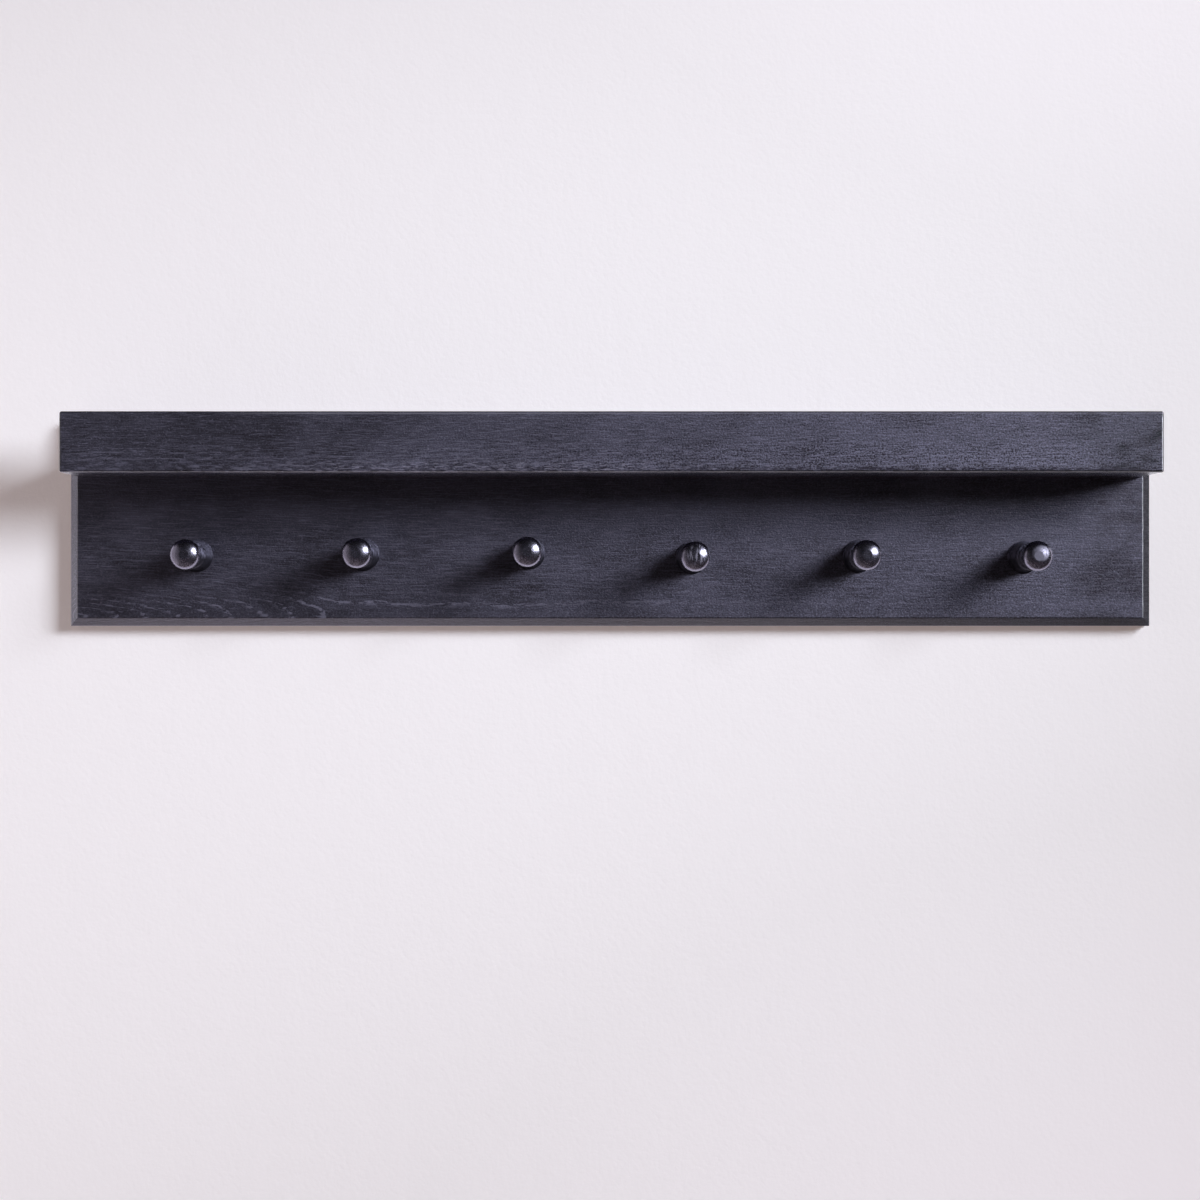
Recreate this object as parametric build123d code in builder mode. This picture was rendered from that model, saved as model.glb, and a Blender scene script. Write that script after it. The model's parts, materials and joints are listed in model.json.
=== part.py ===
from build123d import *

import os
from math import asin, cos, degrees, radians, sin

# Shaker peg rail with a lipped shelf, in stained oak, for hanging on a wall.
#
# Millimetres. +X runs along the rail to its right-hand end and +Z is up. The wall is the plane Y = 0,
# and the rail stands out from it towards -Y, which is the normal of Plane.XZ: Plane.XZ.offset(d) is
# the plane d in front of the wall. The origin is the centre of the back board's rear face.

# Back board, with a bevel round the four edges of its front face.
BOARD_LENGTH = 900
BOARD_HEIGHT = 173
BOARD_THICKNESS = 20
BEVEL = 6.7
BEVEL_ARRIS = 1.5

# Shelf board, its rear edge shouldered to a tongue that sits in a stopped groove in the back board.
SHELF_LENGTH = 884
SHELF_DEPTH = 60
SHELF_THICKNESS = 21
SHELF_UNDERSIDE = 123.8 - BOARD_HEIGHT / 2
TONGUE_THICKNESS = 15
TONGUE_DEPTH = 5
TONGUE_STOP = 12

# Lip along the shelf's front edge, flush with the shelf underneath.
LIP_HEIGHT = 49
LIP_THICKNESS = 18
LIP_ARRIS = 1.8

# Six turned pegs, each bored by eye to a slightly different height.
PEG_SPACING = 137.5
PEG_HEIGHT = 58.4 - BOARD_HEIGHT / 2
PEG_DRIFT = [(0, 0.1), (1.0, 1.1), (1.0, 2.1), (-1.0, -1.6), (-0.2, -0.5), (0, -1.2)]
TENON_RADIUS = 6
TENON_LENGTH = 15
TENON_CHAMFER = 1
BORE_DEPTH = 16
FOOT_RADIUS = 13.5
FOOT_ROUND = 1
FOOT_LEAN = 25
STEM_RADIUS = 11.7
STEM_END = 25.5
SHOULDER_ROUND = 6
SHOULDER_LEAN = 50
NECK_RADIUS = 6.8
NECK_COVE = 3.5
HEAD_RADIUS = 12.2
HEAD_WIDEST = 62
HEAD_BACK_LEAN = 65
HEAD_EDGE = 6.1
HEAD_CROWN = 17.2
NOSE_RADIUS = 3.8

# Countersunk screws through the back board into the shelf's rear edge.
SHELF_SCREW_SPACING = 180
SHELF_SCREW_COUNT = 5
SHELF_SCREW_LENGTH = 50
SHELF_SCREW_HEAD = 4.5
SHELF_SCREW_SHANK = 2.25
SHELF_SCREW_INSET = 0.5

# Dowels between the lip and the shelf.
DOWEL_SPACING = 160
DOWEL_COUNT = 6
DOWEL_RADIUS = 4
DOWEL_LENGTH = 30
DOWEL_IN_LIP = 12
DOWEL_CHAMFER = 1
GLUE_GAP = 0.5

# Steel keyhole plates let flush into the back, each over a pocket that takes a wall screw's head.
HANGER_SPACING = 800
HANGER_HEIGHT = 22
PLATE_LENGTH = 56
PLATE_WIDTH = 18
PLATE_THICKNESS = 2
PLATE_SCREW_REACH = 22.5
KEYHOLE_ENTRY_RADIUS = 5
KEYHOLE_SLOT_RADIUS = 2.5
KEYHOLE_ENTRY_DROP = 6.5
KEYHOLE_SLOT_RISE = 7
POCKET_LENGTH = 27
POCKET_WIDTH = 13
POCKET_DEPTH = 10

# Small countersunk screws that hold the keyhole plates.
HANGER_SCREW_LENGTH = 12
HANGER_SCREW_HEAD = 3
HANGER_SCREW_SHANK = 1.5

# Every screw has a 90 degree head with a cross recess and a blunt tip.
COUNTERSINK_ANGLE = 90
RECESS_ARM = 1.1
RECESS_WIDTH = 0.28
RECESS_DEPTH = 0.8
TIP_LENGTH = 2
TIP_RADIUS = 0.3

SHELF_MIDDLE = SHELF_UNDERSIDE + SHELF_THICKNESS / 2
LIP_MIDDLE = SHELF_UNDERSIDE + LIP_HEIGHT / 2
LIP_BACK = BOARD_THICKNESS + SHELF_DEPTH
TONGUE_LENGTH = SHELF_LENGTH - 2 * TONGUE_STOP

wall_plane = Plane.XZ
board_face = Plane.XZ.offset(BOARD_THICKNESS)
lip_back_face = Plane.XZ.offset(LIP_BACK)


def row(count, spacing):
    """Places of evenly spaced things along X, centred on the rail."""
    return [(place - (count - 1) / 2) * spacing for place in range(count)]


peg_places = [
    (x + drift_x, PEG_HEIGHT + drift_z)
    for x, (drift_x, drift_z) in zip(row(len(PEG_DRIFT), PEG_SPACING), PEG_DRIFT)
]
shelf_screw_places = [(x, SHELF_MIDDLE) for x in row(SHELF_SCREW_COUNT, SHELF_SCREW_SPACING)]
dowel_places = [(x, SHELF_MIDDLE) for x in row(DOWEL_COUNT, DOWEL_SPACING)]
hanger_places = [(x, HANGER_HEIGHT) for x in row(2, HANGER_SPACING)]
hanger_screw_places = [
    (x, z + reach) for x, z in hanger_places for reach in (-PLATE_SCREW_REACH, PLATE_SCREW_REACH)
]


def turning_plane(x, depth, z):
    """Plane for a turned profile: local X is the radius and local Y runs out from the wall."""
    return Plane(origin=(x, -depth, z), x_dir=(1, 0, 0), z_dir=(0, 0, -1))


def turning_axis(x, z):
    return Axis((x, 0, z), (0, -1, 0))


def from_behind(places):
    """Planes on the wall side that look out of the back board, for holes drilled from there."""
    return [Plane(origin=(x, 0, z), z_dir=(0, 1, 0)) for x, z in places]


def save(piece, name):
    piece.part.label = name
    export_step(piece.part, f"parts/{name}.step")


def make_back_board():
    with BuildPart() as board:
        with BuildSketch(wall_plane):
            Rectangle(BOARD_LENGTH, BOARD_HEIGHT)
        extrude(amount=BOARD_THICKNESS)
        chamfer(board.faces().sort_by(Axis.Y)[0].edges(), length=BEVEL)
        bevel_foot = BEVEL - BOARD_THICKNESS
        outer_arris = board.edges().filter_by_position(Axis.Y, bevel_foot, bevel_foot)
        inner_arris = board.faces().sort_by(Axis.Y)[0].edges()
        fillet(outer_arris + inner_arris, radius=BEVEL_ARRIS)

        with BuildSketch(board_face):
            with Locations((0, SHELF_MIDDLE)):
                Rectangle(TONGUE_LENGTH, TONGUE_THICKNESS)
        extrude(amount=-TONGUE_DEPTH, mode=Mode.SUBTRACT)
        with BuildSketch(board_face):
            with Locations(*peg_places):
                Circle(TENON_RADIUS)
        extrude(amount=-BORE_DEPTH, mode=Mode.SUBTRACT)

        with Locations(*from_behind(shelf_screw_places)):
            CounterSinkHole(
                radius=SHELF_SCREW_SHANK,
                counter_sink_radius=SHELF_SCREW_HEAD + SHELF_SCREW_INSET,
                depth=BOARD_THICKNESS - TONGUE_DEPTH,
                counter_sink_angle=COUNTERSINK_ANGLE,
            )

        with BuildSketch(wall_plane):
            with Locations(*hanger_places):
                SlotOverall(PLATE_LENGTH, PLATE_WIDTH, rotation=90)
        extrude(amount=PLATE_THICKNESS, mode=Mode.SUBTRACT)
        with BuildSketch(wall_plane):
            with Locations(*hanger_places):
                SlotOverall(POCKET_LENGTH, POCKET_WIDTH, rotation=90)
        extrude(amount=POCKET_DEPTH, mode=Mode.SUBTRACT)
        with BuildSketch(wall_plane):
            with Locations(*hanger_screw_places):
                Circle(HANGER_SCREW_SHANK)
        extrude(amount=HANGER_SCREW_LENGTH, mode=Mode.SUBTRACT)
    save(board, "back_board")


def make_shelf_board():
    with BuildPart() as shelf:
        with BuildSketch(board_face):
            with Locations((0, SHELF_MIDDLE)):
                Rectangle(SHELF_LENGTH, SHELF_THICKNESS)
        extrude(amount=SHELF_DEPTH)
        fillet(shelf.edges().filter_by(Axis.Y), radius=LIP_ARRIS)
        with BuildSketch(board_face):
            with Locations((0, SHELF_MIDDLE)):
                Rectangle(TONGUE_LENGTH, TONGUE_THICKNESS)
        extrude(amount=-TONGUE_DEPTH)
        with BuildSketch(lip_back_face):
            with Locations(*dowel_places):
                Circle(DOWEL_RADIUS)
        extrude(amount=DOWEL_IN_LIP - DOWEL_LENGTH - GLUE_GAP, mode=Mode.SUBTRACT)
        with BuildSketch(wall_plane):
            with Locations(*shelf_screw_places):
                Circle(SHELF_SCREW_SHANK)
        extrude(amount=SHELF_SCREW_INSET + SHELF_SCREW_LENGTH, mode=Mode.SUBTRACT)
    save(shelf, "shelf_board")


def make_front_lip():
    with BuildPart() as lip:
        with BuildSketch(lip_back_face):
            with Locations((0, LIP_MIDDLE)):
                Rectangle(SHELF_LENGTH, LIP_HEIGHT)
        extrude(amount=LIP_THICKNESS)
        front_edges = lip.faces().sort_by(Axis.Y)[0].edges()
        end_edges = lip.edges().filter_by(Axis.Y)
        rear_top_edge = lip.faces().sort_by(Axis.Y)[-1].edges().sort_by(Axis.Z)[-1]
        fillet(front_edges + end_edges + [rear_top_edge], radius=LIP_ARRIS)
        with BuildSketch(lip_back_face):
            with Locations(*dowel_places):
                Circle(DOWEL_RADIUS)
        extrude(amount=DOWEL_IN_LIP + GLUE_GAP, mode=Mode.SUBTRACT)
    save(lip, "front_lip")


def make_peg(name, x, z):
    """A turned peg: tenon, flared foot, stout stem, shoulder, neck and domed head with a flat nose."""
    flare_turn = radians(FOOT_LEAN)
    foot_edge_radius = FOOT_RADIUS - FOOT_ROUND + FOOT_ROUND * cos(flare_turn)
    flare_radius = (foot_edge_radius - STEM_RADIUS) / (1 - cos(flare_turn))
    shoulder_turn = radians(SHOULDER_LEAN)
    shoulder_end_radius = STEM_RADIUS - SHOULDER_ROUND * (1 - cos(shoulder_turn))
    shoulder_cove = (shoulder_end_radius - NECK_RADIUS) / (1 - cos(shoulder_turn))
    back_turn = radians(HEAD_BACK_LEAN)
    head_back = (HEAD_RADIUS - NECK_RADIUS) / (1 - cos(back_turn)) - NECK_COVE
    neck_end = HEAD_WIDEST - (NECK_COVE + head_back) * sin(back_turn)
    crown_tilt = degrees(asin((HEAD_RADIUS - HEAD_EDGE) / (HEAD_CROWN - HEAD_EDGE)))
    nose_tilt = degrees(asin(NOSE_RADIUS / HEAD_CROWN))

    with BuildPart() as peg:
        with BuildSketch(turning_plane(x, BOARD_THICKNESS, z)):
            with BuildLine():
                tenon = Polyline(
                    (0, -TENON_LENGTH),
                    (TENON_RADIUS - TENON_CHAMFER, -TENON_LENGTH),
                    (TENON_RADIUS, TENON_CHAMFER - TENON_LENGTH),
                    (TENON_RADIUS, 0),
                    (FOOT_RADIUS - FOOT_ROUND, 0),
                )
                rim = JernArc(tenon @ 1, (1, 0), FOOT_ROUND, 90 + FOOT_LEAN)
                flare = JernArc(rim @ 1, rim % 1, flare_radius, -FOOT_LEAN)
                stem = Line(flare @ 1, (STEM_RADIUS, STEM_END))
                shoulder = JernArc(stem @ 1, (0, 1), SHOULDER_ROUND, SHOULDER_LEAN)
                waist = JernArc(shoulder @ 1, shoulder % 1, shoulder_cove, -SHOULDER_LEAN)
                neck = Line(waist @ 1, (NECK_RADIUS, neck_end))
                cove = JernArc(neck @ 1, (0, 1), NECK_COVE, -HEAD_BACK_LEAN)
                back = JernArc(cove @ 1, cove % 1, head_back, HEAD_BACK_LEAN)
                edge = JernArc(back @ 1, (0, 1), HEAD_EDGE, 90 - crown_tilt)
                crown = JernArc(edge @ 1, edge % 1, HEAD_CROWN, crown_tilt - nose_tilt)
                Polyline(crown @ 1, (0, (crown @ 1).Y), (0, -TENON_LENGTH))
            make_face()
        revolve(axis=turning_axis(x, z))
    save(peg, name)


def make_dowel(name, x, z):
    start = LIP_BACK + DOWEL_IN_LIP - DOWEL_LENGTH
    with BuildPart() as dowel:
        with BuildSketch(Plane.XZ.offset(start)):
            with Locations((x, z)):
                Circle(DOWEL_RADIUS)
        extrude(amount=DOWEL_LENGTH)
        chamfer(dowel.edges().filter_by(GeomType.CIRCLE), length=DOWEL_CHAMFER)
    save(dowel, name)


def make_screw(name, x, z, inset, head, shank, length):
    """A countersunk screw, its head inset from the wall plane and its tip towards the front."""
    with BuildPart() as screw:
        with BuildSketch(turning_plane(x, inset, z)):
            Polygon(
                (0, 0),
                (head, 0),
                (shank, head - shank),
                (shank, length - TIP_LENGTH * shank),
                (TIP_RADIUS, length),
                (0, length),
                align=None,
            )
        revolve(axis=turning_axis(x, z))
        with BuildSketch(Plane.XZ.offset(inset)):
            with Locations((x, z)):
                Rectangle(2 * RECESS_ARM * shank, 2 * RECESS_WIDTH * shank)
                Rectangle(2 * RECESS_WIDTH * shank, 2 * RECESS_ARM * shank)
        extrude(amount=RECESS_DEPTH * shank, mode=Mode.SUBTRACT)
    save(screw, name)


def make_keyhole_plate(name, x, z):
    with BuildPart() as plate:
        with BuildSketch(wall_plane):
            with Locations((x, z)):
                SlotOverall(PLATE_LENGTH, PLATE_WIDTH, rotation=90)
        extrude(amount=PLATE_THICKNESS)
        with BuildSketch(wall_plane):
            with Locations((x, z - KEYHOLE_ENTRY_DROP)):
                Circle(KEYHOLE_ENTRY_RADIUS)
            with Locations((x, z + (KEYHOLE_SLOT_RISE - KEYHOLE_ENTRY_DROP) / 2)):
                slot_run = KEYHOLE_SLOT_RISE + KEYHOLE_ENTRY_DROP
                SlotCenterToCenter(slot_run, 2 * KEYHOLE_SLOT_RADIUS, rotation=90)
        extrude(amount=PLATE_THICKNESS, mode=Mode.SUBTRACT)
        with Locations(*from_behind([(x, z - PLATE_SCREW_REACH), (x, z + PLATE_SCREW_REACH)])):
            CounterSinkHole(
                radius=HANGER_SCREW_SHANK,
                counter_sink_radius=HANGER_SCREW_HEAD,
                counter_sink_angle=COUNTERSINK_ANGLE,
            )
    save(plate, name)


os.makedirs("parts", exist_ok=True)
make_back_board()
make_shelf_board()
make_front_lip()
for number, (x, z) in enumerate(peg_places, start=1):
    make_peg(f"peg_{number}", x, z)
for number, (x, z) in enumerate(dowel_places, start=1):
    make_dowel(f"lip_dowel_{number}", x, z)
for number, (x, z) in enumerate(shelf_screw_places, start=1):
    make_screw(
        f"shelf_screw_{number}",
        x, z,
        inset=SHELF_SCREW_INSET,
        head=SHELF_SCREW_HEAD,
        shank=SHELF_SCREW_SHANK,
        length=SHELF_SCREW_LENGTH,
    )
for side, (x, z) in zip(("left", "right"), hanger_places):
    make_keyhole_plate(f"keyhole_plate_{side}", x, z)
for number, (x, z) in enumerate(hanger_screw_places, start=1):
    make_screw(
        f"plate_screw_{number}",
        x, z,
        inset=0,
        head=HANGER_SCREW_HEAD,
        shank=HANGER_SCREW_SHANK,
        length=HANGER_SCREW_LENGTH,
    )
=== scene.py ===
import json
import math
from dataclasses import dataclass

import bpy
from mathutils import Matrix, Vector


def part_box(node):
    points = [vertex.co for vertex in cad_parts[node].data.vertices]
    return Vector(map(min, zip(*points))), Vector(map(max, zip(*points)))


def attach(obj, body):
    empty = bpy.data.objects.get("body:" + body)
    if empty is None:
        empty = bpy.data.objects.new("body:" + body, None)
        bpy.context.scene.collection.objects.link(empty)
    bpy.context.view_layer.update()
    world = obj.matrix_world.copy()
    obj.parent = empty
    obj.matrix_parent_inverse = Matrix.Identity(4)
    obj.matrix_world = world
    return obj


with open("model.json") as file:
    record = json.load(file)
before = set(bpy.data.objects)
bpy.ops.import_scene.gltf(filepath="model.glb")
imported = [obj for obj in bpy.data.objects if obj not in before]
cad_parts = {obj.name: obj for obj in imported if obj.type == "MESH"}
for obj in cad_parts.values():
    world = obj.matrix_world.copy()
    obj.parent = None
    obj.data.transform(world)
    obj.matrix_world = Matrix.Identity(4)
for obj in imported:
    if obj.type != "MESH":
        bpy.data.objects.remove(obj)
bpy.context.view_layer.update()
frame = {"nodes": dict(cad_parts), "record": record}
nodes = frame["nodes"]

MM = 0.001


# ---------------------------------------------------------------- material helpers

def new_material(name):
    material = bpy.data.materials.new(name)
    material.use_nodes = True
    material.node_tree.nodes.clear()
    return material


def rgb(r, g, b):
    return (r, g, b, 1.0)


class Bench:
    """A node tree being put together: add() makes a node, sets its sockets and links what is a socket."""

    def __init__(self, tree):
        self.tree = tree

    def add(self, kind, inputs=None, **settings):
        made = self.tree.nodes.new(kind)
        for key, value in settings.items():
            setattr(made, key, value)
        for key, value in (inputs or {}).items():
            self.feed(made.inputs[key], value)
        return made

    def feed(self, socket, value):
        if isinstance(value, bpy.types.NodeSocket):
            self.tree.links.new(value, socket)
        else:
            socket.default_value = value

    def math(self, operation, a, b=None, c=None, clamp=False):
        given = {0: a}
        if b is not None:
            given[1] = b
        if c is not None:
            given[2] = c
        return self.add("ShaderNodeMath", given, operation=operation, use_clamp=clamp).outputs[0]

    def times(self, first, *others):
        for other in others:
            first = self.math("MULTIPLY", first, other)
        return first

    def most(self, first, *others):
        for other in others:
            first = self.math("MAXIMUM", first, other)
        return first

    def span(self, value, low, high, to_low=0.0, to_high=1.0, smooth=True):
        """Maps value from low..high to to_low..to_high, clamped."""
        made = self.add(
            "ShaderNodeMapRange",
            {0: value, 1: low, 2: high, 3: to_low, 4: to_high},
            interpolation_type="SMOOTHSTEP" if smooth else "LINEAR",
        )
        return made.outputs[0]

    def band(self, value, low, full_from, full_to, high):
        """1 from full_from to full_to, falling to 0 at low and at high."""
        return self.times(self.span(value, low, full_from), self.span(value, high, full_to))

    def mix(self, factor, a, b):
        made = self.add("ShaderNodeMix", data_type="FLOAT")
        self.feed(made.inputs[0], factor)
        self.feed(made.inputs[2], a)
        self.feed(made.inputs[3], b)
        return made.outputs[0]

    def blend(self, factor, a, b, how="MIX"):
        made = self.add("ShaderNodeMix", data_type="RGBA", blend_type=how)
        self.feed(made.inputs[0], factor)
        self.feed(made.inputs[6], a)
        self.feed(made.inputs[7], b)
        return made.outputs[2]

    def apart(self, vector):
        return self.add("ShaderNodeSeparateXYZ", {0: vector}).outputs[:]

    def noise(self, vector, scale, detail=2.0, rough=0.5):
        return self.add(
            "ShaderNodeTexNoise",
            {"Vector": vector, "Scale": scale, "Detail": detail, "Roughness": rough},
            noise_dimensions="3D",
        ).outputs[0]

    def place(self, vector, location=(0, 0, 0), turn=(0, 0, 0), scale=(1, 1, 1)):
        return self.add(
            "ShaderNodeMapping",
            {"Vector": vector, "Location": location, "Rotation": turn, "Scale": scale},
        ).outputs[0]

    def in_mm(self, vector):
        return self.place(vector, scale=(1 / MM, 1 / MM, 1 / MM))

    def from_axis(self, grain, axis):
        """Distance in mm from a line along Y through (x, z), which is given in metres."""
        x, z = axis
        off = self.place(grain, location=(-x / MM, 0, -z / MM), scale=(1, 0, 1))
        return self.add("ShaderNodeVectorMath", {0: off}, operation="LENGTH").outputs["Value"]

    def bump(self, height, distance, strength=1.0, normal=None):
        given = {"Height": height, "Distance": distance, "Strength": strength}
        if normal is not None:
            given["Normal"] = normal
        return self.add("ShaderNodeBump", given).outputs[0]

    def sum_shaders(self, first, second):
        made = self.add("ShaderNodeAddShader")
        self.tree.links.new(first.outputs[0], made.inputs[0])
        self.tree.links.new(second.outputs[0], made.inputs[1])
        return made

    def mix_shaders(self, factor, first, second):
        made = self.add("ShaderNodeMixShader", {0: factor})
        self.tree.links.new(first.outputs[0], made.inputs[1])
        self.tree.links.new(second.outputs[0], made.inputs[2])
        return made

    def end(self, shader, kind="ShaderNodeOutputMaterial"):
        self.tree.links.new(shader.outputs[0], self.add(kind).inputs["Surface"])


# ---------------------------------------------------------------- black-stained oak

STAIN_DEEP, STAIN_THIN = rgb(0.0065, 0.0055, 0.0075), rgb(0.011, 0.0098, 0.0132)
OPEN_GRAIN = rgb(0.060, 0.055, 0.078)
# Pale lines of the grain, and painted glints of light on the pores.
PALE_GRAIN_AND_GLINT = rgb(0.135, 0.125, 0.170)
FRAYED_GRAIN = rgb(0.170, 0.155, 0.205)
CUT_DEEP, CUT_THIN = rgb(0.013, 0.011, 0.015), rgb(0.034, 0.030, 0.039)
# Painted light from below on the edges that face down: paler and warmer at the left, dark at the right.
UNDERSIDE_PAINTED_LIGHT, UNDERSIDE_PAINTED_DARK = rgb(0.037, 0.025, 0.030), rgb(0.012, 0.008, 0.010)
# A painted highlight line under the top edge, and a darker top edge.
EDGE_PAINTED_HIGHLIGHT, EDGE_DARK = rgb(0.150, 0.138, 0.165), rgb(0.004, 0.004, 0.004)

# How much of the light each state of the lacquer throws back.
LACQUER_SUNK, LACQUER_PROUD = rgb(0.125, 0.097, 0.125), rgb(0.75, 0.70, 1.0)
LACQUER_POLISHED = rgb(0.95, 0.93, 1.0)
LACQUER_GRIMY = rgb(0.10, 0.08, 0.13)
LACQUER_ON_CUT = rgb(0.062, 0.054, 0.070)
LACQUER_DEAD = rgb(0.02, 0.02, 0.02)

OAK_IOR = 2.8
FAR_BELOW, FAR_ABOVE = -999.0, 999.0


@dataclass
class Log:
    """How a board was sawn from its tree, stained and worn. Lengths are in mm."""

    heart: tuple                    # (y, z) of the tree's heart, whose line runs beside the board along X
    lean: tuple                     # the heart's drift at two places along X: ((x, drift), (x, drift))
    ring: float = 3.4               # a year's growth
    streak: float = 0.05            # fineness of the streaks along the grain
    figure: float = 0.25            # how much of the streaks is left where the cut is flat-sawn
    flames: float = 0.0             # extra contrast of the flat-sawn figure
    lines: float = 0.9              # pale lines at the end of each year
    flecks: float = 0.35            # pale flecks, painted as glints of light on the pores
    vivid: tuple = (0.75, 0.70)     # contrast of the lacquer at the left and at the right
    calm: float = 0.55              # share of that contrast left on the upper half
    tired: float = 0.60             # lacquer left at the right-hand end
    left_edge: float = 1.0          # polish on the left-hand edge
    dulled_and_underlit: float = 0.8             # wear on edges that face down and forward, which also carry painted light from below
    low_edge: tuple = (0.45, 0.75)  # how far those edges take low_tone, at the left and at the right
    low_tone: tuple = LACQUER_DEAD
    sill: float = FAR_BELOW         # height of a lower edge where the grain is frayed and dirt gathers
    crest: float = FAR_ABOVE        # height of an upper edge, darker, with a painted highlight line under it


def oak_figure(b, grain, log):
    """Distance from the heart in mm, the season within each year's ring, and where the cut is flat-sawn."""
    wander, ripple = 8.0, 3.0
    run, deep, up = b.apart(grain)
    (lean_start, lean_low), (lean_end, lean_high) = log.lean
    drift = b.span(run, lean_start, lean_end, lean_low, lean_high, smooth=False)
    heart_deep, heart_up = log.heart
    sway = b.math("SUBTRACT", b.noise(b.place(grain, scale=(0.006, 0.02, 0.02)), 1.0), 0.5)
    across = b.math("ADD", b.math("SUBTRACT", deep, heart_deep), drift)
    along = b.math("MULTIPLY_ADD", sway, wander, b.math("SUBTRACT", up, heart_up))
    radius = b.math("SQRT", b.math("ADD", b.math("POWER", across, 2.0), b.math("POWER", along, 2.0)))
    jitter = b.noise(b.place(grain, scale=(0.02, 0.1, 0.1)), 1.0, 2.0, 0.6)
    radius = b.math("MULTIPLY_ADD", jitter, ripple, radius)
    season = b.math("FRACT", b.math("DIVIDE", radius, log.ring))
    flat_sawn = b.span(b.math("ABSOLUTE", along), 24, 10)
    return radius, season, flat_sawn


class BoardGuide:
    """What a board's stain and lacquer go by: places along it, its faces and edges, and its grain."""

    def __init__(self, b, log):
        where = b.add("ShaderNodeTexCoord")
        self.grain = b.in_mm(where.outputs["Object"])
        self.run, deep, self.up = b.apart(self.grain)
        self.rightness = b.span(self.run, -250, 200)
        self.far_right = b.span(self.run, 80, 420)
        self.crest = b.times(b.span(self.up, log.crest - 1.2, log.crest - 0.6), 0.85)

        sideways, _, upright = b.apart(where.outputs["Normal"])
        leftward = b.times(sideways, -1.0)
        downward = b.times(upright, -1.0)
        self.cut = b.most(b.span(sideways, 0.50, 0.60), b.span(leftward, 0.80, 0.90))
        self.edges = b.math(
            "MULTIPLY_ADD", b.band(leftward, 0.06, 0.16, 0.36, 0.50), log.left_edge,
            b.band(sideways, 0.06, 0.16, 0.36, 0.50),
        )
        self.left_end = b.most(
            b.times(b.span(leftward, 0.45, 0.60), 0.35),
            b.times(b.span(leftward, 0.05, 0.3), 0.8 * (1.0 - log.left_edge)),
        )
        self.crease = b.band(downward, 0.03, 0.12, 0.36, 0.50)
        self.underside = b.band(downward, 0.45, 0.62, 0.92, 0.98)
        # Worn edges that face down; they also carry painted light from below.
        self.dulled_and_underlit = b.times(self.underside, log.dulled_and_underlit)

        # Long streaks and open pores follow the rings; a fine tooth covers everything.
        radius, self.season, self.flat_sawn = oak_figure(b, self.grain, log)
        rest = b.math("MULTIPLY_ADD", self.up, 0.4, b.times(deep, 0.6))
        ringwise = b.add("ShaderNodeCombineXYZ", {0: self.run, 1: radius, 2: rest}).outputs[0]
        self.streak = b.noise(b.place(ringwise, scale=(log.streak, 1, 1)), 1.0, 2.0, 0.8)
        self.pores = b.noise(b.place(ringwise, scale=(0.10, 1, 1), location=(31, 7, 3)), 1.2, 1.0, 0.6)
        self.tooth = b.noise(b.place(self.grain, scale=(0.75, 1, 1), location=(11, 5, 9)), 0.85, 2.0, 0.8)
        self.cloud = b.noise(b.place(self.grain, scale=(0.5, 1, 1)), 0.035, 3.0, 0.55)
        self.mottle = b.noise(b.place(self.grain, scale=(0.45, 1, 1)), 0.22)


def oak_stain(b, at, log):
    """The colour of the wood: dark stain, with the grain and the cut ends paler, painted glints on the
    pores, painted light from below on the worn edges that face down, and a painted highlight line under the
    top edge.
    """
    hair = b.times(b.span(at.streak, 0.52, 0.70), b.mix(at.rightness, 1.0, 0.6))
    hair = b.times(hair, b.mix(at.flat_sawn, 1.0, log.figure))
    speck = b.span(at.tooth, 0.53, 0.74)
    pore = b.times(b.span(at.pores, 0.66, 0.74), 0.8)
    colour = b.blend(b.span(at.cloud, 0.32, 0.68), STAIN_DEEP, STAIN_THIN)
    colour = b.blend(b.most(hair, speck, pore), colour, OPEN_GRAIN)

    year_line = b.times(b.span(at.season, 0.58, 0.90), b.span(at.pores, 0.46, 0.56))
    year_line = b.times(year_line, at.flat_sawn, b.mix(at.rightness, 1.0, 0.2), log.lines)
    # Painted glints of light on the pores, stronger towards the left.
    fleck = b.noise(b.place(at.grain, scale=(0.40, 1, 1), location=(3, 17, 29)), 1.0, 1.0, 0.5)
    fleck = b.times(b.span(fleck, 0.63, 0.73), b.mix(at.rightness, log.flecks, 0.3 * log.flecks))
    colour = b.blend(b.most(year_line, fleck), colour, PALE_GRAIN_AND_GLINT)

    frayed = b.noise(b.place(at.grain, scale=(0.13, 1, 0.85), location=(5, 2, 8)), 1.0, 2.0, 0.6)
    frayed = b.times(b.span(frayed, 0.53, 0.60), b.span(at.up, log.sill + 13.0, log.sill + 4.0))
    frayed = b.times(frayed, b.band(at.run, -340, -200, -30, 150))
    colour = b.blend(frayed, colour, FRAYED_GRAIN)

    sawn = b.noise(b.place(at.grain, scale=(0.1, 0.3, 1)), 0.6, 2.0, 0.7)
    colour = b.blend(at.cut, colour, b.blend(b.span(sawn, 0.42, 0.62), CUT_DEEP, CUT_THIN))
    # Painted light from below on the edges that face down, fading towards the right.
    colour = b.blend(at.dulled_and_underlit, colour, b.blend(at.far_right, UNDERSIDE_PAINTED_LIGHT, UNDERSIDE_PAINTED_DARK))

    # Painted highlight: a pale line under the top edge, where the rounded edge would catch the light.
    painted_catchlight = b.band(at.up, log.crest - 2.7, log.crest - 2.1, log.crest - 1.5, log.crest - 1.0)
    painted_catchlight = b.times(painted_catchlight, b.span(at.run, -330, -250), b.mix(at.rightness, 0.8, 0.3))
    colour = b.blend(painted_catchlight, colour, EDGE_PAINTED_HIGHLIGHT)
    return b.blend(at.crest, colour, EDGE_DARK)


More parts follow.
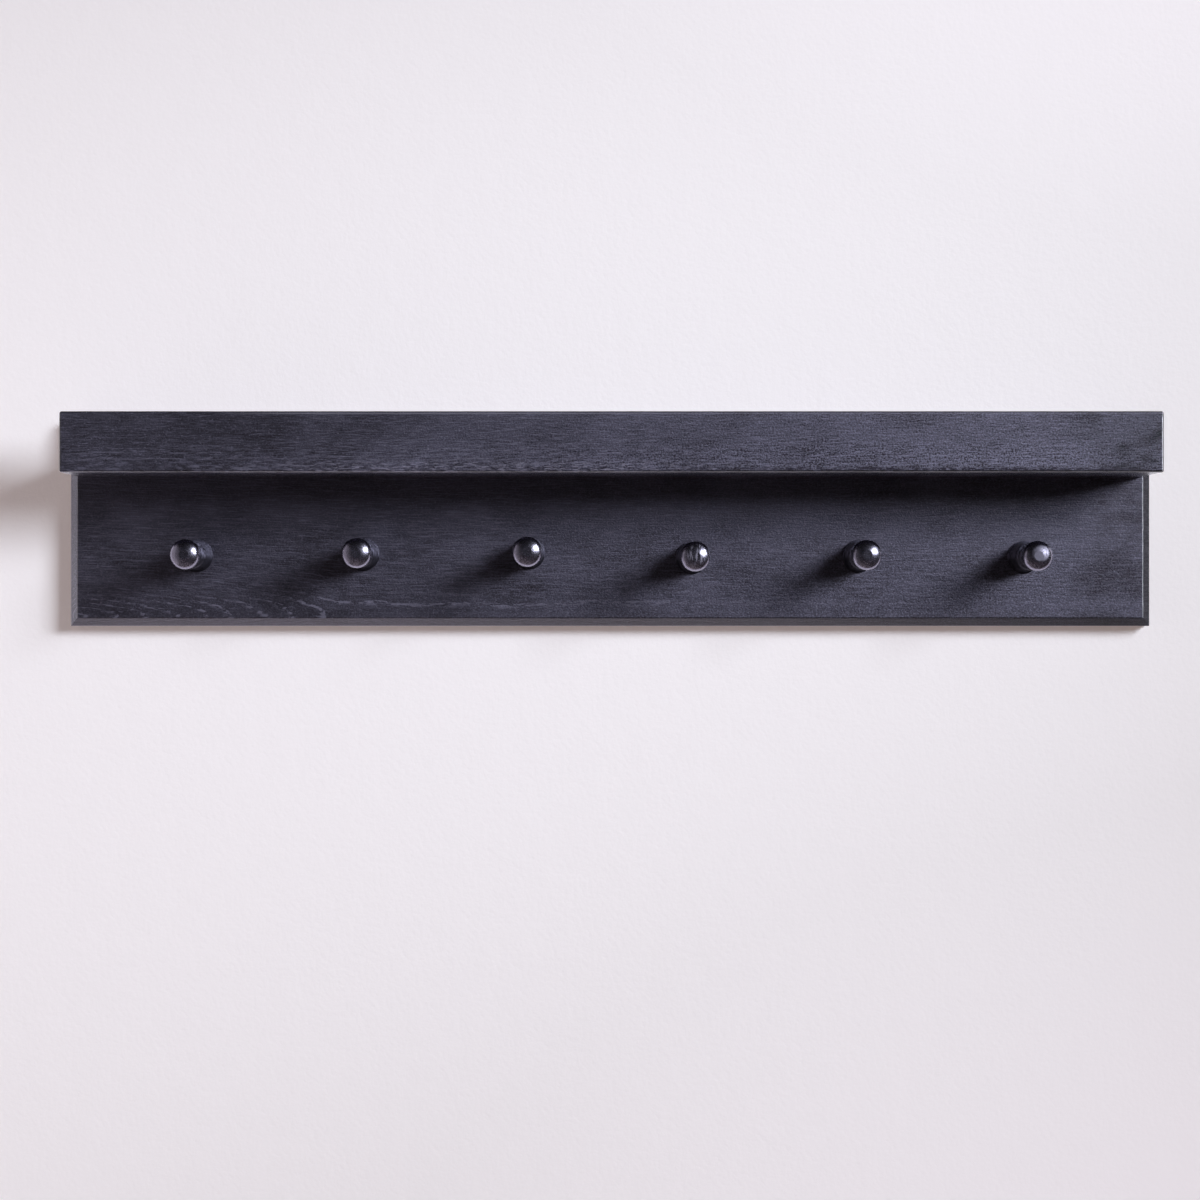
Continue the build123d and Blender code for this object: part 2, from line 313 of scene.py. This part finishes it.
def oak_lacquer(b, at, log, rubbed):
    """The strength of the lacquer's shine: proud on the ridges, sunk in the pores, dead in the corners."""
    vivid = b.times(b.mix(at.rightness, *log.vivid), b.span(at.up, -38, 5, 1.0, log.calm))
    flames = b.times(at.flat_sawn, log.flames, b.mix(at.rightness, 0.4, 1.0))
    vivid = b.math("MULTIPLY_ADD", flames, 0.9, vivid)
    ridges = b.times(b.math("SUBTRACT", at.tooth, 0.5), b.mix(at.rightness, 0.9, 2.4))
    lines = b.times(b.math("SUBTRACT", at.streak, 0.5), b.mix(at.rightness, 1.7, 1.3))
    lines = b.times(lines, b.mix(at.flat_sawn, 1.0, log.figure))
    patch = b.math("MULTIPLY_ADD", b.math("SUBTRACT", at.cloud, 0.5), 0.6, 0.5)
    shine = b.math("MULTIPLY_ADD", b.math("ADD", ridges, lines), vivid, patch, clamp=True)
    sheen = b.blend(shine, LACQUER_SUNK, LACQUER_PROUD)

    thin = b.times(b.span(at.run, 340, 430), b.span(at.cloud, 0.56, 0.40, 0.4, 1.0))
    fade = b.blend(thin, rgb(1.0, 1.0, 1.0), rgb(log.tired, 0.97 * log.tired, 0.97 * log.tired))
    sheen = b.blend(1.0, sheen, fade, "MULTIPLY")
    grime = b.noise(b.place(at.grain, scale=(0.16, 1, 0.7)), 1.1, 2.0, 0.8)
    grime = b.times(b.span(grime, 0.44, 0.54), b.span(at.up, log.sill + 5.0, log.sill + 3.2))
    sheen = b.blend(b.times(grime, at.rightness), sheen, LACQUER_GRIMY)

    shaded = b.most(b.times(at.crease, b.mix(at.rightness, 0.4, 1.0)), at.left_end)
    sheen = b.blend(shaded, sheen, LACQUER_DEAD)
    sheen = b.blend(at.crest, sheen, LACQUER_DEAD)
    sheen = b.blend(b.times(at.underside, b.mix(at.rightness, *log.low_edge)), sheen, log.low_tone)
    sheen = b.blend(at.cut, sheen, LACQUER_ON_CUT)
    return b.blend(rubbed, sheen, LACQUER_POLISHED)


def stained_oak(name, log):
    """Black stain in the oak's open grain under a satin lacquer, rubbed brighter on the upright edges."""
    material = new_material(name)
    b = Bench(material.node_tree)
    at = BoardGuide(b, log)
    rubbed = b.times(at.edges, b.span(at.mottle, 0.35, 0.5, 0.6, 1.0))

    satin = b.math("ADD", b.span(at.run, -300, 20, 0.46, 0.54), b.span(at.cloud, 0.3, 0.7, -0.03, 0.05))
    rough = b.mix(rubbed, b.mix(at.cut, satin, 0.72), 0.30)
    rough = b.mix(at.crest, rough, 0.85)

    soft_edge = b.add("ShaderNodeBevel", {"Radius": 0.7 * MM}, samples=6).outputs[0]
    relief = b.math("ADD", at.streak, b.times(at.tooth, 1.2))
    relief = b.math("ADD", relief, b.times(at.mottle, 0.16))
    bare = b.most(at.cut, b.times(at.dulled_and_underlit, b.mix(at.far_right, 0.2, 1.0)), at.crest)
    surface = b.add(
        "ShaderNodeBsdfPrincipled",
        {"Base Color": oak_stain(b, at, log), "Roughness": rough, "IOR": OAK_IOR,
         "Normal": b.bump(relief, 0.28 * MM, normal=soft_edge),
         "Specular Tint": oak_lacquer(b, at, log, rubbed),
         "Coat Weight": b.mix(bare, 1.0, 0.2), "Coat Roughness": 0.26, "Coat IOR": 1.5,
         "Coat Normal": b.bump(relief, 0.16 * MM, normal=soft_edge)},
    )
    b.end(surface)
    return material


# ---------------------------------------------------------------- pegs, dowels and metal

HEAD_FROM, HEAD_FULL = -66.0, -70.0  # depths in mm between which a peg's neck becomes its head
STEM_DEEP, STEM_THIN = rgb(0.010, 0.009, 0.014), rgb(0.150, 0.140, 0.200)
# Painted shade for the downward side of the stem.
STEM_PAINTED_SHADE = rgb(0.012, 0.011, 0.015)
HEAD_DEEP, HEAD_THIN = rgb(0.0028, 0.0024, 0.0034), rgb(0.0075, 0.0062, 0.0085)
# End grain on the nose, paled by a painted reflection of the room in front.
NOSE_GRAIN_REFLECTION_DARK, NOSE_GRAIN_REFLECTION_PALE = rgb(0.007, 0.0062, 0.0095), rgb(0.028, 0.025, 0.038)
NOSE_RIBS = rgb(0.26, 0.24, 0.31)
# How much light the stem and the head throw back; the last is cut down as painted shade on the top of the
# head.
STEM_SHEEN, HEAD_SHEEN, CROWN_PAINTED_SHADE = rgb(0.08, 0.073, 0.10), rgb(0.84, 0.78, 1.0), rgb(0.10, 0.085, 0.20)
PEG_IOR = 3.0


def lacquered_peg(name, scuff, ribbed):
    """The same stain on turned oak: polished on the head, dull down the stem, paler on the nose, where end
    grain and a painted reflection fade to painted shade at the top.

    The head round the axis scuff is rubbed dull, and the one round ribbed shows pale ribs of grain.
    """
    material = new_material(name)
    b = Bench(material.node_tree)
    where = b.add("ShaderNodeTexCoord")
    grain = b.in_mm(where.outputs["Object"])
    _, facing, tilt = b.apart(where.outputs["Normal"])
    head = b.span(b.apart(grain)[1], HEAD_FROM, HEAD_FULL)
    # Painted reflection: the nose is paler with end grain and a reflection of the room in front, fading as
    # painted shade towards the top.
    nose = b.times(head, b.span(facing, -0.80, -0.97), b.span(tilt, 0.46, 0.16, 0.12, 1.0))
    # Painted shade: the top of the head throws back less light.
    crown_painted_shade = b.times(head, b.span(tilt, 0.36, 0.62))
    fibre = b.noise(b.place(grain, scale=(1, 0.15, 1)), 0.9, 3.0, 0.6)
    rings = b.noise(b.place(grain, scale=(0.5, 0.05, 1.6)), 0.5, 2.0, 0.6)
    ripple = b.noise(grain, 0.42, 2.0, 0.55)
    turning = b.noise(b.place(grain, scale=(1.2, 1.2, 0.15)), 0.8, 2.0, 0.6)
    wood = b.math("ADD", fibre, rings)

    stem = b.blend(b.span(turning, 0.40, 0.62), STEM_DEEP, STEM_THIN)
    # Painted shade: the stem is darker where it faces down.
    stem = b.blend(b.span(tilt, -0.30, 0.10), STEM_PAINTED_SHADE, stem)
    colour = b.blend(head, stem, b.blend(fibre, HEAD_DEEP, HEAD_THIN))
    colour = b.blend(nose, colour, b.blend(b.span(wood, 0.8, 1.3), NOSE_GRAIN_REFLECTION_DARK, NOSE_GRAIN_REFLECTION_PALE))
    ribs = b.noise(b.place(grain, turn=(0, 0.20, 0), scale=(1.5, 0.05, 0.11)), 1.0, 1.0, 0.5)
    ribs = b.times(b.span(ribs, 0.55, 0.61), head, b.span(b.from_axis(grain, ribbed), 9.0, 6.5))
    colour = b.blend(ribs, colour, NOSE_RIBS)

    rubbed = b.times(head, b.span(b.from_axis(grain, scuff), 7.5, 5.6))
    polish = b.mix(rubbed, b.span(fibre, 0.3, 0.7, 0.21, 0.31), b.span(fibre, 0.40, 0.60, 0.42, 0.68))
    fine = b.bump(wood, b.mix(head, 0.05 * MM, 0.012 * MM))
    sheen = b.blend(crown_painted_shade, b.blend(head, STEM_SHEEN, HEAD_SHEEN), CROWN_PAINTED_SHADE)
    surface = b.add(
        "ShaderNodeBsdfPrincipled",
        {"Base Color": colour, "Roughness": b.mix(head, 0.40, polish), "IOR": PEG_IOR,
         "Normal": b.bump(ripple, b.mix(nose, 0.0, 0.10 * MM), normal=fine), "Specular Tint": sheen},
    )
    b.end(surface)
    return material


def bare_beech(name):
    """Dowel stock: pale beech with small dark flecks along its length."""
    material = new_material(name)
    b = Bench(material.node_tree)
    grain = b.in_mm(b.add("ShaderNodeTexCoord").outputs["Object"])
    fibre = b.noise(b.place(grain, scale=(1, 0.08, 1)), 1.4, 3.0, 0.6)
    fleck = b.noise(b.place(grain, scale=(2.2, 0.5, 2.2)), 1.0, 1.0, 0.5)
    colour = b.blend(b.span(fibre, 0.3, 0.7), rgb(0.46, 0.27, 0.14), rgb(0.66, 0.45, 0.27))
    colour = b.blend(b.times(b.span(fleck, 0.66, 0.72), 0.6), colour, rgb(0.24, 0.12, 0.06))
    surface = b.add(
        "ShaderNodeBsdfPrincipled",
        {"Base Color": colour, "Roughness": b.span(fibre, 0.3, 0.7, 0.62, 0.5),
         "Normal": b.bump(fibre, 0.06 * MM)},
    )
    b.end(surface)
    return material


def zinc_plate(name, pale, dark, brushed, smoothest):
    """Plated steel: a brushed or drawn grain, with cloudy passivated patches."""
    material = new_material(name)
    b = Bench(material.node_tree)
    grain = b.in_mm(b.add("ShaderNodeTexCoord").outputs["Object"])
    lines = b.noise(b.place(grain, scale=brushed), 3.0, 3.0, 0.7)
    cloud = b.noise(grain, 0.35, 3.0, 0.6)
    dull = b.span(cloud, 0.3, 0.7, smoothest, smoothest + 0.12)
    rough = b.math("ADD", dull, b.span(lines, 0.3, 0.7, 0.0, 0.08))
    surface = b.add(
        "ShaderNodeBsdfPrincipled",
        {"Base Color": b.blend(b.span(cloud, 0.35, 0.65), dark, pale), "Metallic": 1.0,
         "Roughness": rough, "Normal": b.bump(lines, 0.02 * MM)},
    )
    b.end(surface)
    return material


# ---------------------------------------------------------------- finishes of the pieces

def axis_of(name, right=0.0, up=0.0):
    """Where the middle of a piece is in the front view: (x, z) in metres, moved right and up."""
    low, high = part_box(name)
    return (low[0] + high[0]) / 2 + right, (low[2] + high[2]) / 2 + up


LIP_BOTTOM, LIP_TOP = 37.3, 86.3  # heights in mm
board_log = Log(heart=(-20.0, -78.0), lean=((-450, 3), (-225, 34)))
shelf_log = Log(heart=(-50.0, 92.0), lean=((-450, 10), (450, -20)))
lip_log = Log(
    heart=(-86.0, 41.0), lean=((-450, 0), (450, 12)), ring=3.0, streak=0.08, figure=1.0, flames=1.0,
    lines=0.5, flecks=0.8, vivid=(0.65, 0.95), calm=1.0, tired=0.12, left_edge=0.0, dulled_and_underlit=0.0,
    low_edge=(0.5, 0.8), low_tone=rgb(1.0, 0.96, 1.0), sill=LIP_BOTTOM, crest=LIP_TOP,
)
finishes = {
    "board_oak": stained_oak("board oak", board_log),
    "lip_oak": stained_oak("lip oak", lip_log),
    "shelf_oak": stained_oak("shelf oak", shelf_log),
    "peg_oak": lacquered_peg(
        "peg oak", scuff=axis_of("peg_6", 1.3 * MM, 1.9 * MM), ribbed=axis_of("peg_4", 1.0 * MM, 1.5 * MM)
    ),
    "dowel_beech": bare_beech("dowel beech"),
    "screw_steel": zinc_plate(
        "screw zinc", rgb(0.66, 0.63, 0.52), rgb(0.50, 0.46, 0.36), brushed=(1, 1, 1), smoothest=0.26
    ),
    "plate_steel": zinc_plate(
        "plate zinc", rgb(0.66, 0.67, 0.68), rgb(0.50, 0.51, 0.52), brushed=(1, 1, 0.08), smoothest=0.30
    ),
}
slot_of = {row["node"]: row["material_slot"] for row in frame["record"]["subparts"]}
for node_name, piece in nodes.items():
    finish = finishes[slot_of[node_name]]
    if piece.material_slots:
        for material_slot in piece.material_slots:
            material_slot.material = finish
    else:
        piece.data.materials.append(finish)


# ---------------------------------------------------------------- screw threads

def thread_tree(name, finish):
    """Winds a sharp ridge round the screw that starts at each vertex and points along -Y."""
    tree = bpy.data.node_groups.new(name, "GeometryNodeTree")
    ports = {}
    tree.interface.new_socket("Screws", in_out="INPUT", socket_type="NodeSocketGeometry")
    for label in ("Shank Radius", "Ridge", "Pitch", "Start", "Run"):
        port = tree.interface.new_socket(label, in_out="INPUT", socket_type="NodeSocketFloat")
        ports[label] = port.identifier
    tree.interface.new_socket("Thread", in_out="OUTPUT", socket_type="NodeSocketGeometry")
    b = Bench(tree)
    given = b.add("NodeGroupInput").outputs
    helix = b.add(
        "GeometryNodeCurveSpiral",
        {"Resolution": 20, "Rotations": b.math("DIVIDE", given["Run"], given["Pitch"]),
         "Start Radius": given["Shank Radius"], "End Radius": given["Shank Radius"],
         "Height": given["Run"]},
    ).outputs[0]
    section = b.add("GeometryNodeCurvePrimitiveCircle", {"Resolution": 3, "Radius": given["Ridge"]})
    ridge = b.add(
        "GeometryNodeCurveToMesh",
        {"Curve": helix, "Profile Curve": section.outputs[0], "Fill Caps": True},
    ).outputs[0]
    start = b.add("ShaderNodeCombineXYZ", {1: b.times(given["Start"], -1.0)}).outputs[0]
    laid = b.add(
        "GeometryNodeTransform",
        {"Geometry": ridge, "Translation": start, "Rotation": (math.radians(90), 0, 0)},
    ).outputs[0]
    wound = b.add("GeometryNodeInstanceOnPoints", {"Points": given["Screws"], "Instance": laid}).outputs[0]
    whole = b.add("GeometryNodeRealizeInstances", {0: wound}).outputs[0]
    dressed = b.add("GeometryNodeSetMaterial", {"Geometry": whole, "Material": finish}).outputs[0]
    tree.links.new(dressed, b.add("NodeGroupOutput").inputs[0])
    return tree, ports


def cut_threads(name, screws, sizes):
    """One piece holding the threads of the named screws; each screw's head is its node's rear end."""
    heads = []
    for screw in screws:
        (x0, _, z0), (x1, rear, z1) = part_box(screw)
        heads.append(((x0 + x1) / 2, rear, (z0 + z1) / 2))
    mesh = bpy.data.meshes.new(name)
    mesh.from_pydata(heads, [], [])
    piece = bpy.data.objects.new(name, mesh)
    bpy.context.scene.collection.objects.link(piece)
    tree, ports = thread_tree(name + " winding", finishes["screw_steel"])
    winding = piece.modifiers.new("winding", "NODES")
    winding.node_group = tree
    for label, size in sizes.items():
        winding[ports[label]] = size * MM
    ready = piece.evaluated_get(bpy.context.evaluated_depsgraph_get())
    made = bpy.data.meshes.new_from_object(ready)
    piece.modifiers.remove(winding)
    piece.data = made
    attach(piece, "root")


cut_threads(
    "shelf_screw_threads", [f"shelf_screw_{n}" for n in range(1, 6)],
    {"Shank Radius": 2.25, "Ridge": 0.55, "Pitch": 2.0, "Start": 20.5, "Run": 24.0},
)
cut_threads(
    "plate_screw_threads", [f"plate_screw_{n}" for n in range(1, 5)],
    {"Shank Radius": 1.5, "Ridge": 0.35, "Pitch": 1.3, "Start": 2.6, "Run": 6.0},
)


# ---------------------------------------------------------------- wall and floor

WALL_REACH = 4.0
WALL_BEHIND = 0.1 * MM
GAP_INSET = 0.5 * MM
FLOOR_HEIGHT = -1.5


def painted_wall(name, colour):
    """Matt white paint with a painted glow, for the eye and the lacquer, that stands in for light from the
    room. The back of the wall is clear to the eye, so the rail's own back can be seen.
    """
    material = new_material(name)
    b = Bench(material.node_tree)
    here = b.add("ShaderNodeTexCoord").outputs["Object"]
    roller = b.math("ADD", b.noise(here, 240.0, 3.0, 0.6), b.noise(here, 45.0))
    paint = b.add(
        "ShaderNodeBsdfPrincipled",
        {"Base Color": colour, "Roughness": 0.9, "Specular IOR Level": 0.2,
         "Normal": b.bump(roller, 0.5 * MM, 0.5)},
    )
    light_path = b.add("ShaderNodeLightPath")
    looked_at = light_path.outputs["Is Camera Ray"]
    mirrored = light_path.outputs["Is Glossy Ray"]

    # Painted light: the glow for the eye grows towards the two right-hand corners and is dimmer and warmer
    # elsewhere; the lacquer mirrors the wall evenly.
    across, _, up = b.apart(here)
    corner = b.times(b.math("ABSOLUTE", up), b.math("ADD", across, 0.6))
    painted_bounce = b.blend(
        b.span(corner, 0.25, 0.60, smooth=False), rgb(0.195, 0.152, 0.138), rgb(0.325, 0.272, 0.278)
    )
    tone = b.blend(mirrored, painted_bounce, rgb(0.70, 0.66, 0.71))
    glow = b.add("ShaderNodeEmission", {"Color": tone, "Strength": b.most(looked_at, mirrored)})
    behind = b.add("ShaderNodeNewGeometry").outputs["Backfacing"]
    clear = b.add("ShaderNodeBsdfTransparent")
    b.end(b.mix_shaders(b.times(behind, looked_at), b.sum_shaders(paint, glow), clear))
    return material


def painted_floor(name, dark, pale, glow_colour):
    """Matt paint that looks evenly lit to the eye."""
    material = new_material(name)
    b = Bench(material.node_tree)
    tone = b.noise(b.add("ShaderNodeTexCoord").outputs["Object"], 3.0, 3.0, 0.6)
    paint = b.add("ShaderNodeBsdfPrincipled", {"Base Color": b.blend(tone, dark, pale), "Roughness": 0.8})
    looked_at = b.add("ShaderNodeLightPath").outputs["Is Camera Ray"]
    glow = b.add("ShaderNodeEmission", {"Color": glow_colour, "Strength": looked_at})
    b.end(b.sum_shaders(paint, glow))
    return material


def room_surface(name, corners, faces, paint):
    mesh = bpy.data.meshes.new(name)
    mesh.from_pydata(corners, [], faces)
    mesh.materials.append(paint)
    made = bpy.data.objects.new(name, mesh)
    bpy.context.scene.collection.objects.link(made)
    return made


def wall_with_gap(name, reach, gap_low, gap_high, y, paint):
    """A wall plane facing -Y, with a gap where the rail covers it."""
    x0, z0 = gap_low
    x1, z1 = gap_high
    xs = [-reach, x0, x1, reach]
    zs = [-reach, z0, z1, reach]
    corners = [(x, y, z) for z in zs for x in xs]
    faces = []
    for row in range(3):
        for column in range(3):
            if (row, column) != (1, 1):
                first = row * 4 + column
                faces.append((first, first + 1, first + 5, first + 4))
    return room_surface(name, corners, faces, paint)


board_low, board_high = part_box("back_board")
wall = wall_with_gap(
    "wall", WALL_REACH,
    (board_low[0] + GAP_INSET, board_low[2] + GAP_INSET),
    (board_high[0] - GAP_INSET, board_high[2] - GAP_INSET),
    WALL_BEHIND, painted_wall("wall paint", rgb(0.925, 0.888, 0.925)),
)

floor = room_surface(
    "floor", [(x, y, FLOOR_HEIGHT) for x, y in ((-5, -6), (5, -6), (5, 4), (-5, 4))], [(0, 1, 2, 3)],
    painted_floor("floor paint", rgb(0.74, 0.63, 0.59), rgb(0.78, 0.67, 0.63), rgb(0.46, 0.45, 0.47)),
)


# ---------------------------------------------------------------- lights and room

CARD_X, CARD_Z = -1.15, -0.15
CARD_HEIGHT = 1.7
CARD_TINT = (1, 0.95, 0.99)


def soft_light(name, place, aim, width, height, watts, colour=(1, 1, 1), spread=180):
    """A rectangular lamp that faces aim; a small spread in degrees keeps its light together."""
    lamp = bpy.data.lights.new(name, "AREA")
    lamp.shape = "RECTANGLE"
    lamp.size = width
    lamp.size_y = height
    lamp.energy = watts
    lamp.color = colour
    lamp.spread = math.radians(spread)
    holder = bpy.data.objects.new(name, lamp)
    holder.location = place
    holder.rotation_euler = (Vector(aim) - Vector(place)).to_track_quat("-Z", "Y").to_euler()
    bpy.context.scene.collection.objects.link(holder)


def studio_room(name):
    """A dim room with a pale backdrop, and a lighter patch in front that only the lacquer mirrors."""
    world = bpy.data.worlds.new(name)
    world.use_nodes = True
    world.node_tree.nodes.clear()
    b = Bench(world.node_tree)
    ways = b.add("ShaderNodeLightPath").outputs
    ahead, height = b.apart(b.add("ShaderNodeTexCoord").outputs["Generated"])[1:]
    fill = b.blend(b.span(height, 0.15, 0.6), rgb(0.02, 0.02, 0.02), rgb(0.045, 0.042, 0.045))
    in_front = b.times(b.span(ahead, -0.55, -0.98), b.span(height, 0.30, 0.0))
    mirror = b.blend(in_front, rgb(0.006, 0.006, 0.006), rgb(0.035, 0.035, 0.034))
    room = b.add("ShaderNodeBackground", {"Color": b.blend(ways["Is Glossy Ray"], fill, mirror)})
    backdrop = b.add("ShaderNodeBackground", {"Color": rgb(0.86, 0.845, 0.88)})
    b.end(b.mix_shaders(ways["Is Camera Ray"], room, backdrop), "ShaderNodeOutputWorld")
    return world


soft_light(
    "softbox", (2.1, -2.0, 0.95), (-1.06, 0, -0.34), 1.2, 1.06, watts=18,
    colour=(0.88, 0.948, 1.0), spread=63,
)
for card, card_y, card_width, card_watts in (
    ("side card", -0.31, 0.58, 2.2),
    ("side card front", -0.80, 0.40, 0.6),
    ("side card far", -1.35, 0.70, 0.3),
):
    soft_light(
        card, (CARD_X, card_y, CARD_Z), (0, card_y, CARD_Z), card_width, CARD_HEIGHT, card_watts,
        colour=CARD_TINT,
    )
soft_light("lamp behind", (0.6, 2.2, 1.2), (0, 0, 0), 1.5, 1.5, watts=75)
bpy.context.scene.world = studio_room("room")


# ---------------------------------------------------------------- camera

FOCAL_LENGTH, SENSOR_WIDTH = 72.81, 36
SHIFT_RIGHT = 0.0192

lens = bpy.data.cameras.new("camera")
lens.lens = FOCAL_LENGTH
lens.sensor_width = SENSOR_WIDTH
lens.shift_x = SHIFT_RIGHT
camera = bpy.data.objects.new("camera", lens)
camera.location = (-0.0277, -2.039, -0.0648)
camera.rotation_euler = (math.radians(90), 0, 0)
bpy.context.scene.collection.objects.link(camera)
bpy.context.scene.camera = camera
bpy.context.scene.view_settings.view_transform = "Standard"
